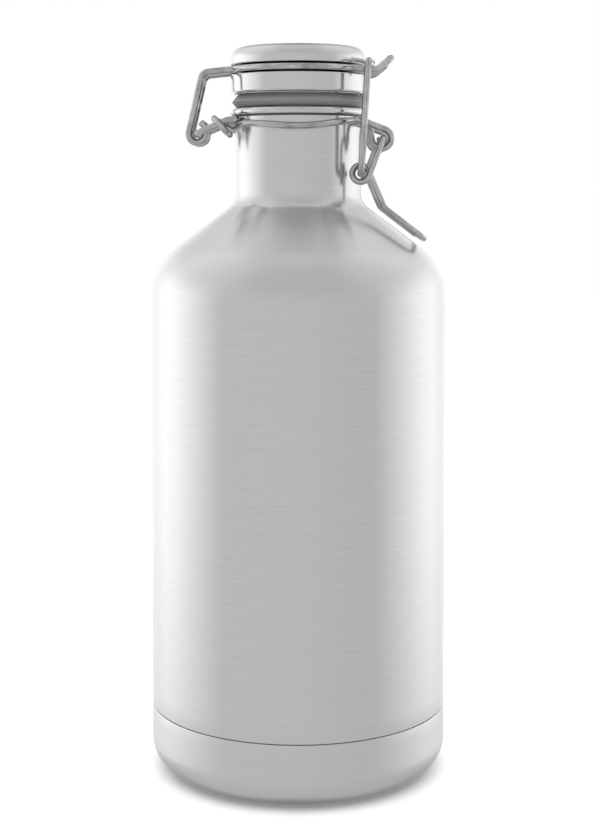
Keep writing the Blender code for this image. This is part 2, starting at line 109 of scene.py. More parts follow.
# Studio light.
STUDIO_STRENGTH = 1.78
SUN_STRENGTH = 3.3
SUN_WIDTH_DEG = 100.0

# Camera, in metres and degrees.
CAMERA_PLACE = (0.0007, -0.655, 0.2368)
CAMERA_TILT_DEG = 3.24
CAMERA_LENS = 68.8
CAMERA_SHIFT = -0.1676


# ------------------------------------------------------------------ shader nodes


class Graph:
    """Short ways to add nodes to one node tree."""

    def __init__(self, tree):
        self.tree = tree
        self.nodes = tree.nodes
        self.links = tree.links

    def new(self, kind, **settings):
        node = self.nodes.new(kind)
        for key, value in settings.items():
            setattr(node, key, value)
        return node

    def put(self, socket, value):
        """Link a socket, or set a constant on it."""
        if isinstance(value, bpy.types.NodeSocket):
            self.links.new(value, socket)
        else:
            socket.default_value = value

    def math(self, operation, first, second=0.0, clamp=False):
        node = self.new("ShaderNodeMath", operation=operation, use_clamp=clamp)
        self.put(node.inputs[0], first)
        self.put(node.inputs[1], second)
        return node.outputs[0]

    def plus(self, first, second):
        return self.math("ADD", first, second)

    def minus(self, first, second):
        return self.math("SUBTRACT", first, second)

    def times(self, first, second):
        return self.math("MULTIPLY", first, second)

    def remap(self, value, low, high, to_low=0.0, to_high=1.0, smooth=False):
        """Map the range low..high to to_low..to_high, in a straight line or a smooth step."""
        node = self.new("ShaderNodeMapRange")
        node.interpolation_type = "SMOOTHSTEP" if smooth else "LINEAR"
        for socket, number in zip(node.inputs[1:5], (low, high, to_low, to_high)):
            socket.default_value = number
        self.put(node.inputs[0], value)
        return node.outputs[0]

    def blend(self, first, second, share):
        """Mix of two numbers; share 0 is the first and 1 the second."""
        node = self.new("ShaderNodeMix", data_type="FLOAT")
        self.put(node.inputs[0], share)
        self.put(node.inputs[2], first)
        self.put(node.inputs[3], second)
        return node.outputs[0]

    def dimmed(self, color, share):
        """A colour scaled by a number."""
        node = self.new("ShaderNodeVectorMath", operation="SCALE")
        self.put(node.inputs[0], color)
        self.put(node.inputs["Scale"], share)
        return node.outputs[0]

    def noise(self, vector, detail=2.0, roughness=0.5, scale=1.0):
        node = self.new("ShaderNodeTexNoise")
        node.inputs["Scale"].default_value = scale
        node.inputs["Detail"].default_value = detail
        node.inputs["Roughness"].default_value = roughness
        self.put(node.inputs["Vector"], vector)
        return node.outputs["Fac"]

    def combine(self, x, y, z):
        node = self.new("ShaderNodeCombineXYZ")
        for socket, value in zip(node.inputs, (x, y, z)):
            self.put(socket, value)
        return node.outputs[0]

    def split(self, vector):
        node = self.new("ShaderNodeSeparateXYZ")
        self.put(node.inputs[0], vector)
        return node.outputs

    def ramp(self, value, stops):
        """Colour ramp of greys or colours; stops are (position, colour or grey)."""
        node = self.new("ShaderNodeValToRGB")
        band = node.color_ramp
        while len(band.elements) < len(stops):
            band.elements.new(0.5)
        for element, (place, color) in zip(band.elements, stops):
            element.position = place
            grey = isinstance(color, float)
            element.color = (color, color, color, 1.0) if grey else (*color, 1.0)
        self.put(node.inputs[0], value)
        return node.outputs[0]

    def bump(self, height, strength, distance):
        node = self.new("ShaderNodeBump")
        node.inputs["Strength"].default_value = strength
        node.inputs["Distance"].default_value = distance
        self.put(node.inputs["Height"], height)
        return node.outputs[0]


def start_material(name, metallic):
    """New material; gives it with its graph and its Principled shader."""
    mat = bpy.data.materials.new(name)
    mat.use_nodes = True
    graph = Graph(mat.node_tree)
    shader = graph.nodes["Principled BSDF"]
    shader.inputs["Metallic"].default_value = metallic
    return mat, graph, shader


def axis_distance(graph, point):
    """Distance from the bottle's axis."""
    x, y, _ = graph.split(point)
    squares = graph.plus(graph.times(x, x), graph.times(y, y))
    return graph.math("SQRT", squares)


def profile_coordinate(graph, point, slope):
    """Distance along a turned part's outline: Z, plus or minus the radius."""
    _, _, z = graph.split(point)
    return graph.plus(z, graph.times(axis_distance(graph, point), slope))


def painted_shade_band(graph, point, low_mm, high_mm, inner_mm, outer_mm):
    """Painted shade in a band of heights: how much light the band keeps, least inside, near its two
    edges, and all outside.
    """
    outside = 0.1
    inside = 0.2
    _, _, z = graph.split(point)
    radius = axis_distance(graph, point)
    depth = graph.remap(radius, inner_mm * MM, outer_mm * MM, 1.0, 0.0, smooth=True)
    above = graph.remap(z, (low_mm - outside) * MM, (low_mm + inside) * MM)
    below = graph.remap(z, (high_mm - inside) * MM, (high_mm + outside) * MM, 1.0, 0.0)
    band = graph.times(depth, graph.times(above, below))
    middle = 0.5 * (low_mm + high_mm) * MM
    half = 0.5 * (high_mm - low_mm) * MM
    from_middle = graph.math("ABSOLUTE", graph.minus(z, middle))
    painted_shade = graph.remap(from_middle, 0.35 * half, 0.70 * half, 0.55, 0.95, smooth=True)
    return graph.minus(1.0, graph.times(band, painted_shade))


def brushed_round(name, color, roughness, slope, anisotropy=0.7, grain=1.0, painted_shade=None):
    """Steel brushed round the bottle's axis, with fine lines, soft bands and faint handling marks,
    and where given, a band of painted shade.
    """
    mat, graph, shader = start_material(name, 1.0)
    point = graph.new("ShaderNodeTexCoord").outputs["Object"]
    x, y, _ = graph.split(point)
    along = profile_coordinate(graph, point, slope)

    def lines(size, detail):
        width, length = size
        across = graph.times(along, 1.0 / width)
        part_x = graph.times(x, 1.0 / length)
        part_y = graph.times(y, 1.0 / length)
        return graph.noise(graph.combine(part_x, part_y, across), detail)

    fine = lines(FINE_LINE, 3.0)
    coarse = lines(COARSE_LINE, 3.0)
    cloud = graph.noise(point, 3.0, 0.55, CLOUDS_PER_M)
    slant = graph.times(graph.plus(along, graph.times(x, 0.3)), 2200.0)
    marks = graph.combine(graph.times(x, 150.0), graph.times(y, 150.0), slant)
    scuffs = graph.remap(graph.noise(marks, 2.0), 0.66, 0.74)
    scuffs = graph.math("MULTIPLY", scuffs, graph.remap(cloud, 0.45, 0.60), clamp=True)

    tone = graph.times(graph.minus(fine, 0.5), FINE_TONE * grain)
    tone = graph.plus(tone, graph.times(graph.minus(coarse, 0.5), COARSE_TONE * grain))
    tone = graph.plus(tone, graph.times(graph.minus(cloud, 0.5), CLOUD_TONE))
    tone = graph.minus(graph.plus(tone, 0.5), graph.times(scuffs, SCUFF_TONE))
    dark = [0.72 * c for c in color]
    light = [min(1.0, 1.24 * c) for c in color]
    shade = graph.ramp(tone, [(0.0, dark), (1.0, light)])
    # Where given, a band of painted shade darkens the colour, as in the cap's wire groove.
    if painted_shade:
        shade = graph.dimmed(shade, painted_shade_band(graph, point, *painted_shade))
    graph.put(shader.inputs["Base Color"], shade)

    rough = graph.plus(graph.times(coarse, 0.04), graph.times(cloud, 0.10))
    rough = graph.plus(rough, graph.times(scuffs, 0.06))
    graph.put(shader.inputs["Roughness"], graph.plus(rough, roughness - 0.09))
    shader.inputs["Anisotropic"].default_value = anisotropy
    shader.inputs["Anisotropic Rotation"].default_value = 0.25
    tangent = graph.new("ShaderNodeTangent", direction_type="RADIAL", axis="Z")
    graph.put(shader.inputs["Tangent"], tangent.outputs[0])
    graph.put(shader.inputs["Normal"], graph.bump(fine, 0.10 * grain, 0.00004))
    return mat


def polished_steel(name, color, roughness, painted_shade=None):
    """Bright formed steel: nearly a mirror, with a faint haze and fine pits, and where given, a band
    of painted shade.
    """
    mat, graph, shader = start_material(name, 1.0)
    point = graph.new("ShaderNodeTexCoord").outputs["Object"]
    haze = graph.noise(point, 3.0, 0.5, 60.0)
    pits = graph.noise(point, 2.0, 0.5, 900.0)
    tone = graph.plus(graph.times(haze, 0.6), graph.times(pits, 0.4))
    dark = [0.86 * c for c in color]
    light = [min(1.0, 1.10 * c) for c in color]
    shade = graph.ramp(tone, [(0.3, dark), (0.7, light)])
    # Where given, a band of painted shade darkens the colour, as in the painted shadow under the
    # vessel's lip.
    if painted_shade:
        shade = graph.dimmed(shade, painted_shade_band(graph, point, *painted_shade))
    graph.put(shader.inputs["Base Color"], shade)
    rough = graph.remap(haze, 0.3, 0.7, roughness - 0.03, roughness + 0.05)
    graph.put(shader.inputs["Roughness"], rough)
    graph.put(shader.inputs["Normal"], graph.bump(pits, 0.06, 0.00005))
    return mat


def drawn_wire(name, color, roughness):
    """Drawn steel wire: die lines along it, in strong light and dark streaks that are also painted
    reflections, a polished skin, and rubbed and dulled stretches.
    """
    mat, graph, shader = start_material(name, 1.0)
    coords = graph.new("ShaderNodeTexCoord")
    around, length, _ = graph.split(coords.outputs["UV"])
    stretched = graph.combine(graph.times(around, 46.0), graph.times(length, 0.16), 0.0)
    die_lines_and_painted_reflection = graph.noise(stretched, 2.0)
    dull = graph.noise(coords.outputs["Object"], 3.0, 0.6, 150.0)
    nicks = graph.remap(graph.noise(coords.outputs["Object"], 4.0, 0.7, 700.0), 0.66, 0.72)
    tone = graph.plus(graph.times(die_lines_and_painted_reflection, 0.55), graph.times(dull, 0.45))
    tone = graph.minus(tone, graph.times(nicks, 0.15))
    # The wide spread from dark to light makes the die lines also serve as painted reflections along
    # the wire.
    dark = [0.50 * c for c in color]
    light = [min(1.0, 1.35 * c) for c in color]
    graph.put(shader.inputs["Base Color"], graph.ramp(tone, [(0.32, dark), (0.66, light)]))
    rough = graph.remap(dull, 0.3, 0.7, roughness - 0.05, roughness + 0.09)
    graph.put(shader.inputs["Roughness"], graph.plus(rough, graph.times(nicks, 0.2)))
    graph.put(shader.inputs["Normal"], graph.bump(die_lines_and_painted_reflection, 0.12, 0.00006))
    return mat


def dull_material(name, color, roughness, grain_size, variation, bump):
    """Moulded, foamed or sintered material: fine grain over soft colour clouds."""
    mat, graph, shader = start_material(name, 0.0)
    point = graph.new("ShaderNodeTexCoord").outputs["Object"]
    cloud = graph.noise(point, 3.0, 0.5, 70.0)
    grain = graph.noise(point, 3.0, 0.6, 1.0 / grain_size)
    tone = graph.plus(graph.times(cloud, 0.6), graph.times(grain, 0.4))
    dark = [(1.0 - variation) * c for c in color]
    light = [min(1.0, (1.0 + variation) * c) for c in color]
    graph.put(shader.inputs["Base Color"], graph.ramp(tone, [(0.3, dark), (0.7, light)]))
    rough = graph.remap(grain, 0.3, 0.7, roughness - 0.06, roughness + 0.06)
    graph.put(shader.inputs["Roughness"], rough)
    graph.put(shader.inputs["Normal"], graph.bump(grain, bump, 0.3 * grain_size))
    return mat


# ------------------------------------------------------------------------ meshes


def finish_mesh(name, verts, faces, mat, body, node, uvs=None):
    """Make the piece that stands for a CAD node, riding on its body."""
    mesh = bpy.data.meshes.new(name)
    mesh.from_pydata([tuple(c * MM for c in v) for v in verts], [], faces)
    if uvs:
        layer = mesh.uv_layers.new(name="wire")
        for loop, uv in zip(layer.data, uvs):
            loop.uv = uv
    mesh.validate()
    mesh.shade_smooth()
    mesh.set_sharp_from_angle(angle=SMOOTH_ANGLE)
    mesh.materials.append(mat)
    piece = bpy.data.objects.new(name, mesh)
    bpy.context.scene.collection.objects.link(piece)
    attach(piece, body)
    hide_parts(node)
    return piece


def arc(centre, radius, start_deg, end_deg, step_deg=ARC_STEP_DEG):
    """Points of an arc; angle 0 points along the first axis."""
    count = max(2, math.ceil(abs(end_deg - start_deg) / step_deg))
    points = []
    for i in range(count + 1):
        angle = math.radians(start_deg + (end_deg - start_deg) * i / count)
        points.append((centre[0] + radius * math.cos(angle), centre[1] + radius * math.sin(angle)))
    return points


def turned(name, outline, mat, body, node):
    """Spin a closed (radius, Z) outline, given counter-clockwise, about the Z axis."""
    verts = []
    rings = []
    for radius, z in outline:
        if radius == 0.0:
            rings.append([len(verts)] * TURN_STEPS)
            verts.append((0.0, 0.0, z))
            continue
        rings.append(list(range(len(verts), len(verts) + TURN_STEPS)))
        for k in range(TURN_STEPS):
            angle = math.tau * k / TURN_STEPS
            verts.append((radius * math.cos(angle), radius * math.sin(angle), z))
    faces = []
    for i, low in enumerate(rings):
        high = rings[(i + 1) % len(rings)]
        if outline[i][0] == 0.0 and outline[(i + 1) % len(rings)][0] == 0.0:
            continue
        for k in range(TURN_STEPS):
            after = (k + 1) % TURN_STEPS
            around = (low[k], low[after], high[after], high[k])
            faces.append(tuple(dict.fromkeys(around)))
    return finish_mesh(name, verts, faces, mat, body, node)


def bottle_outline(inset, neck_radius, top_z, body_radius):
    """Shoulder, cone and neck of a bottle wall, from the top of its side to the neck's top."""
    centre = (SHOULDER_CENTRE_RADIUS, SHOULDER_CENTRE_Z)
    points = arc(centre, body_radius - SHOULDER_CENTRE_RADIUS - inset, 0.0, SHOULDER_SWEEP_DEG)
    slope = math.radians(SHOULDER_SWEEP_DEG)
    normal = Vector((math.cos(slope), math.sin(slope)))
    fillet = NECK_FILLET + inset
    fillet_r = neck_radius + fillet
    cone_offset = Vector(points[-1]).dot(normal) + fillet
    fillet_z = (cone_offset - fillet_r * normal.x) / normal.y
    points += arc((fillet_r, fillet_z), fillet, 180.0 + SHOULDER_SWEEP_DEG, 180.0)
    points.append((neck_radius, top_z))
    return points


def stations(start, end, count):
    """Evenly spaced points between two points, without the ends."""
    return [tuple(a + (b - a) * i / count for a, b in zip(start, end)) for i in range(1, count)]


def make_shell(mat, box):
    """Outer wall, with its lower edge rolled in over the base cup's rim."""
    body_radius = box[1].x / MM
    low_z = box[0].z / MM
    top_z = box[1].z / MM
    seam_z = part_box("base_cup")[1].z / MM + FIT_GAP
    edge = SEAM_ROUND
    outer = [(SPIGOT_RADIUS, low_z), (SPIGOT_RADIUS, seam_z)]
    outer += arc((body_radius - edge, seam_z + edge), edge, -90.0, 0.0, 22.0)
    outer += stations((body_radius, seam_z + edge), (body_radius, SHOULDER_CENTRE_Z), 24)
    outer += bottle_outline(0.0, NECK_RADIUS, top_z, body_radius)
    inner = [(SPIGOT_RADIUS - SHELL_WALL, low_z), (SPIGOT_RADIUS - SHELL_WALL, seam_z + SHELL_WALL)]
    inner.append((body_radius - SHELL_WALL, seam_z + 2.0 * SHELL_WALL))
    inner += bottle_outline(SHELL_WALL, NECK_RADIUS - SHELL_WALL, top_z, body_radius)
    return turned("shell_skin", outer + inner[::-1], mat, "bottle", "outer_shell")


def make_base_cup(mat, box):
    """Cup under the bottle: rolled rim, pressed recess and a stiffening bead below."""
    body_radius = box[1].x / MM
    seam_z = box[1].z / MM
    corner_r = body_radius - BASE_CORNER
    ramp = BASE_RECESS_RADIUS + 2.0 * BASE_RECESS_DEPTH
    edge = SEAM_ROUND
    depth = BASE_RECESS_DEPTH
    soft_run = 0.6
    soft_rise = 0.12
    bead_steps = 12
    bead = []
    for i in range(bead_steps + 1):
        shift = 2.0 * i / bead_steps - 1.0
        lift = BEAD_HEIGHT * (0.5 + 0.5 * math.cos(math.pi * shift))
        bead.append((BEAD_RADIUS + BEAD_HALF_WIDTH * shift, lift))
    outer = [(0.0, depth)] + [(r, depth - lift) for r, lift in bead]
    outer += [(BASE_RECESS_RADIUS, depth), (BASE_RECESS_RADIUS + soft_run, depth - soft_rise)]
    outer += [(ramp - soft_run, soft_rise), (ramp, 0.0)]
    outer += arc((corner_r, BASE_CORNER), BASE_CORNER, -90.0, 0.0)
    outer += stations((body_radius, BASE_CORNER), (body_radius, seam_z - edge), 4)
    outer += arc((body_radius - edge, seam_z - edge), edge, 0.0, 90.0, 22.0)
    inner = [(0.0, depth + BASE_WALL)] + [(r, depth + BASE_WALL - lift) for r, lift in bead]
    inner += [(BASE_RECESS_RADIUS, depth + BASE_WALL), (ramp, BASE_WALL)]
    inner += arc((corner_r, BASE_CORNER), BASE_CORNER - BASE_WALL, -90.0, 0.0)
    inner.append((body_radius - BASE_WALL, seam_z))
    return turned("base_cup_skin", outer + inner[::-1], mat, "bottle", "base_cup")


def make_vessel(mat, body_radius, lip_top):
    """Inner bottle with its round rolled lip."""
    outer_face = SHELL_WALL + VACUUM_SPACE
    inner_face = outer_face + VESSEL_WALL
    corner_r = body_radius - outer_face - VESSEL_CORNER
    corner_z = VESSEL_FLOOR_Z + VESSEL_CORNER
    nose = (LIP_RADIUS - LIP_NOSE, lip_top - LIP_NOSE)
    under_lip = lip_top - 2.0 * LIP_NOSE
    mouth_round = 1.2
    round_z = lip_top - mouth_round
    outer = [(0.0, VESSEL_FLOOR_Z)]
    outer += arc((corner_r, corner_z), VESSEL_CORNER, -90.0, 0.0)
    outer += bottle_outline(outer_face, BORE_RADIUS + VESSEL_WALL, under_lip, body_radius)
    outer += arc(nose, LIP_NOSE, -90.0, 90.0, 9.0)
    inner = [(0.0, VESSEL_FLOOR_Z + VESSEL_WALL)]
    inner += arc((corner_r, corner_z), VESSEL_CORNER - VESSEL_WALL, -90.0, 0.0)
    inner += bottle_outline(inner_face, BORE_RADIUS, round_z, body_radius)
    inner += arc((BORE_RADIUS + mouth_round, round_z), mouth_round, 180.0, 90.0, 15.0)[1:]
    return turned("vessel_skin", outer + inner[::-1], mat, "bottle", "inner_vessel")


def make_cap(mat, box):
    """Pressed steel skin of the cap with its wire groove."""
    radius = box[1].x / MM
    low_z = box[0].z / MM
    top_z = box[1].z / MM
    crown = top_z - CAP_EDGE
    edge_r = radius - CAP_EDGE
    skin = CAP_SKIN
    root = 0.5
    foot_flat = 0.6
    outer = [(radius - CAP_FOOT - foot_flat, low_z)]
    outer += arc((radius - CAP_FOOT, low_z + CAP_FOOT), CAP_FOOT, -90.0, 0.0, 10.0)
    outer += arc((radius - CAP_LIP, GROOVE_LOW_Z - CAP_LIP), CAP_LIP, 0.0, 90.0, 15.0)
    outer += arc((GROOVE_RADIUS + root, GROOVE_LOW_Z + root), root, 270.0, 180.0, 22.0)
    outer += arc((GROOVE_RADIUS + root, GROOVE_HIGH_Z - root), root, 180.0, 90.0, 22.0)
    outer += arc((radius - CAP_LIP, GROOVE_HIGH_Z + CAP_LIP), CAP_LIP, -90.0, 0.0, 15.0)
    outer += arc((edge_r, crown), CAP_EDGE, 0.0, 90.0, 6.0)
    outer += stations((edge_r, top_z), (0.0, top_z), 8)
    outer.append((0.0, top_z))
    inner = [(radius - CAP_FOOT - foot_flat, low_z + skin), (radius - skin, low_z + CAP_FOOT)]
    inner += [(radius - skin, GROOVE_LOW_Z - skin), (GROOVE_RADIUS - skin, GROOVE_LOW_Z - skin)]
    inner += [(GROOVE_RADIUS - skin, GROOVE_HIGH_Z + skin), (radius - skin, GROOVE_HIGH_Z + skin)]
    inner += arc((edge_r, crown), CAP_EDGE - skin, 0.0, 90.0, 15.0)
    inner.append((0.0, top_z - skin))
    return turned("cap_skin", outer + inner[::-1], mat, "cap", "cap_shell")


def make_pan(mat, box):
    """Pan under the cap, drawn with round corners and a shallow dish in its floor."""
    low_z = box[0].z / MM
    top_z = box[1].z / MM
    skin = 0.6
    flange = box[1].x / MM
    flange_z = top_z - skin
    corner = 1.6
    dish = 0.5
    dish_radius = 11.0
    dish_rim = 13.0
    shift = 0.2
    outer = [(0.0, low_z + dish), (dish_radius, low_z + dish), (dish_rim, low_z)]
    outer += arc((PLUG_RADIUS - corner, low_z + corner), corner, -90.0, 0.0, 12.0)
    outer += [(PLUG_RADIUS, flange_z), (flange, flange_z), (flange, top_z)]
    inner = [(0.0, low_z + dish + skin), (dish_radius - shift, low_z + dish + skin)]
    inner.append((dish_rim - shift, low_z + skin))
    inner += arc((PLUG_RADIUS - corner, low_z + corner), corner - skin, -90.0, 0.0, 22.0)
    inner.append((PLUG_RADIUS - skin, top_z))
    return turned("cap_pan_skin", outer + inner[::-1], mat, "cap", "cap_pan")


def make_gasket(mat, box):
    """Silicone ring with a V-shaped edge, a moulded flat on its tip and soft corners."""
    low = box[0].z / MM
    high = box[1].z / MM
    bore = PLUG_RADIUS + FIT_GAP
    tip = GASKET_TIP_RADIUS
    tip_z = low + 2.2
    soft = 0.2
    nib = tip - 0.1
    half_nib = 0.12
    flank = tip - 0.35
    half_flank = 0.3
    outline = [(bore, low + soft), (bore + soft, low), (GASKET_ROOT_RADIUS + 0.3, low)]
    outline += [(flank, tip_z - half_flank), (nib, tip_z - half_nib), (nib, tip_z + half_nib)]
    outline += [(flank, tip_z + half_flank), (GASKET_ROOT_RADIUS + half_nib, high - half_nib)]
    outline += [(GASKET_ROOT_RADIUS, high), (bore + soft, high), (bore, high - soft)]
    return turned("gasket_ring", outline, mat, "cap", "gasket")


# ------------------------------------------------------------------------- wires


def rounded(points, radius, closed=False):
    """Replace each sharp corner of a path by an arc that touches both its sides."""
    sharp = math.radians(SMALLEST_CORNER_DEG)
    most = 0.48
    count = len(points)
    path = []
    for i, corner in enumerate(points):
        inner = closed or 0 < i < count - 1
        if not inner:
            path.append(corner)
            continue
        back = points[i - 1] - corner
        ahead = points[(i + 1) % count] - corner
        turn = math.pi - back.angle(ahead)
        if turn < sharp:
            path.append(corner)
            continue
        reach = min(radius * math.tan(0.5 * turn), most * back.length, most * ahead.length)
        bend = reach / math.tan(0.5 * turn)
        start = corner + back.normalized() * reach
        end = corner + ahead.normalized() * reach
        middle = (back.normalized() + ahead.normalized()).normalized()
        centre = corner + middle * (bend / math.cos(0.5 * turn))
        first = (start - centre).normalized()
        last = (end - centre).normalized()
        steps = max(3, math.ceil(math.degrees(turn) / CORNER_STEP_DEG))
        for k in range(steps + 1):
            path.append(centre + first.slerp(last, k / steps) * bend)
    return path


def relaxed(path, closed=False, rounds=2):
    """Soften small kinks where arcs and straights of a path meet."""
    shortest = 0.05
    pull = 0.35
    for _ in range(rounds):
        count = len(path)
        after = []
        for i, here in enumerate(path):
            if not closed and i in (0, count - 1):
                after.append(here)
                continue
            before = path[i - 1]
            ahead = path[(i + 1) % count]
            middle = (before + ahead) * 0.5
            short = min((here - before).length, (ahead - here).length)
            gentle = short > shortest and (here - middle).length < 0.5 * short
            after.append(here.lerp(middle, pull if gentle else 0.0))
        path = after
    return path


def thinned(path, spacing=0.08):
    """Drop points that lie on top of each other."""
    kept = [path[0]]
    for point in path[1:]:
        if (point - kept[-1]).length > spacing:
            kept.append(point)
    return kept


def wire(name, path, diameter, mat, body, node, closed=False):
    """Sweep a round wire along a path; its UVs run round it (U) and along it in millimetres (V)."""
    path = thinned(path)
    radius = 0.5 * diameter
    radii = [radius] * len(path)
    if not closed:
        start_step = (path[1] - path[0]).normalized() * END_CHAMFER
        end_step = (path[-2] - path[-1]).normalized() * END_CHAMFER
        path = [path[0], path[0] + start_step] + path[1:-1] + [path[-1] + end_step, path[-1]]
        small = radius - END_CHAMFER
        radii = [small, radius] + radii[1:-1] + [radius, small]
    count = len(path)
    tangents = []
    for i in range(count):
        before = path[i - 1] if closed or i > 0 else path[i]
        ahead = path[(i + 1) % count] if closed or i < count - 1 else path[i]
        tangents.append((ahead - before).normalized())
    side = tangents[0].orthogonal().normalized()
    sides = [side]
    for i in range(1, count):
        side = tangents[i - 1].rotation_difference(tangents[i]) @ side
        side = (side - tangents[i] * side.dot(tangents[i])).normalized()
        sides.append(side)
    twist = 0.0
    if closed:
        carried = tangents[-1].rotation_difference(tangents[0]) @ sides[-1]
        up = tangents[0].cross(sides[0])
        twist = -math.atan2(carried.dot(up), carried.dot(sides[0]))
    verts = []
    runs = [0.0]
    for i, (here, tangent, side) in enumerate(zip(path, tangents, sides)):
        up = tangent.cross(side)
        for k in range(WIRE_SECTION):
            angle = math.tau * k / WIRE_SECTION + twist * i / count
            verts.append(here + (side * math.cos(angle) + up * math.sin(angle)) * radii[i])
        ahead = path[(i + 1) % count]
        runs.append(runs[-1] + (ahead - here).length)
    faces = []
    uvs = []
    for i in range(count if closed else count - 1):
        low = i * WIRE_SECTION
        high = ((i + 1) % count) * WIRE_SECTION
        for k in range(WIRE_SECTION):
            after = (k + 1) % WIRE_SECTION
            faces.append((low + k, low + after, high + after, high + k))
            near, far = k / WIRE_SECTION, (k + 1) / WIRE_SECTION
            uvs += [(near, runs[i]), (far, runs[i]), (far, runs[i + 1]), (near, runs[i + 1])]
    if not closed:
        first_ring = tuple(range(WIRE_SECTION))
        last_ring = tuple((count - 1) * WIRE_SECTION + k for k in first_ring)
        for ring in (first_ring[::-1], last_ring):
            faces.append(ring)
            uvs += [(0.5, 0.0)] * WIRE_SECTION
    return finish_mesh(name, verts, faces, mat, body, node, uvs)


def tangent_angle(centre, radius, outside, side):
    """Angle (degrees) at which a line from a point outside a circle touches it."""
    dx = outside[0] - centre[0]
    dz = outside[1] - centre[1]
    reach = math.degrees(math.acos(radius / math.hypot(dx, dz)))
    return math.degrees(math.atan2(dz, dx)) + side * reach


def coil(centre, radius, start_deg, end_deg, y_start, y_end):
    """Turns about an axis along Y, moving sideways as they go."""
    flat = arc(centre, radius, start_deg, end_deg, COIL_STEP_DEG)
    last = len(flat) - 1
    return [Vector((x, y_start + (y_end - y_start) * i / last, z)) for i, (x, z) in enumerate(flat)]


def ring_points(radius, start_deg, end_deg, height):
    """Arc round the bottle's axis; height gives Z from the angle in degrees."""
    flat = arc((0.0, 0.0), radius, start_deg, end_deg, RING_STEP_DEG)
    count = len(flat) - 1
    points = []
    for i, (x, y) in enumerate(flat):
        points.append(Vector((x, y, height(start_deg + (end_deg - start_deg) * i / count))))
    return points


def both_halves(near):
    """Join a near half (Y < 0) that ends at the plane Y = 0 to its mirror image."""
    return near + [Vector((p.x, -p.y, p.z)) for p in reversed(near)]


def make_cap_wire(mat, hinge):
    """Bail that holds the cap: two curls on the hinge bar, a split ring, and the latch's tab.

    The cut ends are (X, Z) steps from the curl's right side; the tab is X with a rise over the ring.
    """
    leg_y = -9.0
    curl = 3.35
    corner = (-38.35, 283.0)
    cut_end = [(-1.9, 4.9), (0.2, 2.8)]
    ring_radius = 26.8
    ring_z = 0.5 * (GROOVE_LOW_Z + GROOVE_HIGH_Z)
    tab_y = -16.5
    tab = [(24.0, -0.1), (27.6, -0.6), (31.4, -0.6), (36.8, 4.0)]
    touch = tangent_angle(hinge, curl, corner, 1.0)
    right = (hinge[0] + curl, hinge[1])
    near = [Vector((right[0] + step_x, leg_y, right[1] + step_z)) for step_x, step_z in cut_end]
    near += coil(hinge, curl, 360.0, touch, leg_y, leg_y)
    near.append(Vector((corner[0], leg_y, corner[1])))
    first = 180.0 + math.degrees(math.asin(-leg_y / ring_radius))
    last = 360.0 - math.degrees(math.asin(-tab_y / ring_radius))
    near += ring_points(ring_radius, first, last, lambda angle: ring_z)
    near += [Vector((x, tab_y, ring_z + rise)) for x, rise in tab]
    path = relaxed(rounded(both_halves(near), 3.2))
    return wire("cap_wire_bail", path, HEAVY_WIRE, mat, "cap", "cap_wire")


def make_hinge_bail(mat, hinge):
    """Closed loop that carries the hinge bar and hugs the neck behind it."""
    leg_y = -12.2
    bend = (-28.2, NECK_WIRE_Z - 0.1)
    neck = 180.0 + math.degrees(math.asin(-leg_y / NECK_WIRE_RADIUS))
    near = [Vector((hinge[0], leg_y, hinge[1])), Vector((bend[0], leg_y, bend[1]))]
    hug = ring_points(NECK_WIRE_RADIUS, neck, 360.0 - neck, lambda angle: NECK_WIRE_Z)
    far = [Vector((p.x, -p.y, p.z)) for p in reversed(near)]
    path = relaxed(rounded(near + hug + far, 2.2, closed=True), closed=True)
    return wire("hinge_loop", path, HEAVY_WIRE, mat, "bottle", "hinge_bail", closed=True)


def collar_height(angle_deg):
    """Height of the collar wire: highest beside the latch, lowest in front and behind."""
    angle = math.radians(angle_deg)
    hinge_side = max(0.0, -math.cos(angle)) ** 2
    return NECK_WIRE_Z - FRONT_DIP * math.sin(angle) ** 4 - HINGE_DIP * hinge_side


def hinge_wrap():
    """Slanted oval turn of the collar wire's near end round a leg of the hinge loop."""
    centre = Vector((-30.9, -12.2, 261.8))
    along = Vector((-0.67, 0.0, 0.74)).normalized()
    to_neck = Vector((0.92, 0.0, 0.39)).normalized()
    long_half = 3.9
    short_half = 3.1
    pitch = 3.1
    start = -150.0
    end = 192.0
    settled = -45.0
    steps = 42
    points = []
    for i in range(steps + 1):
        turn = start + (end - start) * i / steps
        angle = math.radians(turn)
        shift = max(0.0, (settled - turn) / (settled - start))
        point = centre + along * long_half * math.cos(angle)
        point.y -= short_half * math.sin(angle)
        points.append(point + to_neck * pitch * shift)
    return points


def make_collar_wire(mat):
    """Wire round the neck: a turn round each hinge leg, and an eye for each end of the lever."""
    eye_centre = (33.1, 256.5)
    eye_radius = 3.9
    leg_y = -17.0
    leg_start_x = 24.0
    wrap_end_deg = 219.0
    return_y = -13.85
    leave = 360.0 - math.degrees(math.asin(-leg_y / NECK_WIRE_RADIUS))
    arrive = 360.0 - math.degrees(math.asin(-return_y / NECK_WIRE_RADIUS))
    return_bend = (28.9, 259.9)
    return_z = 262.8
    near = hinge_wrap()[::-1]
    near += ring_points(NECK_WIRE_RADIUS, wrap_end_deg, leave, collar_height)
    near.append(Vector((leg_start_x, leg_y, NECK_WIRE_Z)))
    touch = tangent_angle(eye_centre, eye_radius, (leg_start_x, NECK_WIRE_Z), -1.0)
    near += coil(eye_centre, eye_radius, touch, -180.0, leg_y, return_y)
    near.append(Vector((return_bend[0], return_y, return_bend[1])))
    near += ring_points(NECK_WIRE_RADIUS, arrive, 360.0, lambda angle: return_z)[:-1]
    path = relaxed(rounded(both_halves(near), 1.8))
    return wire("collar_wire_loop", path, COLLAR_WIRE, mat, "bottle", "collar_wire")


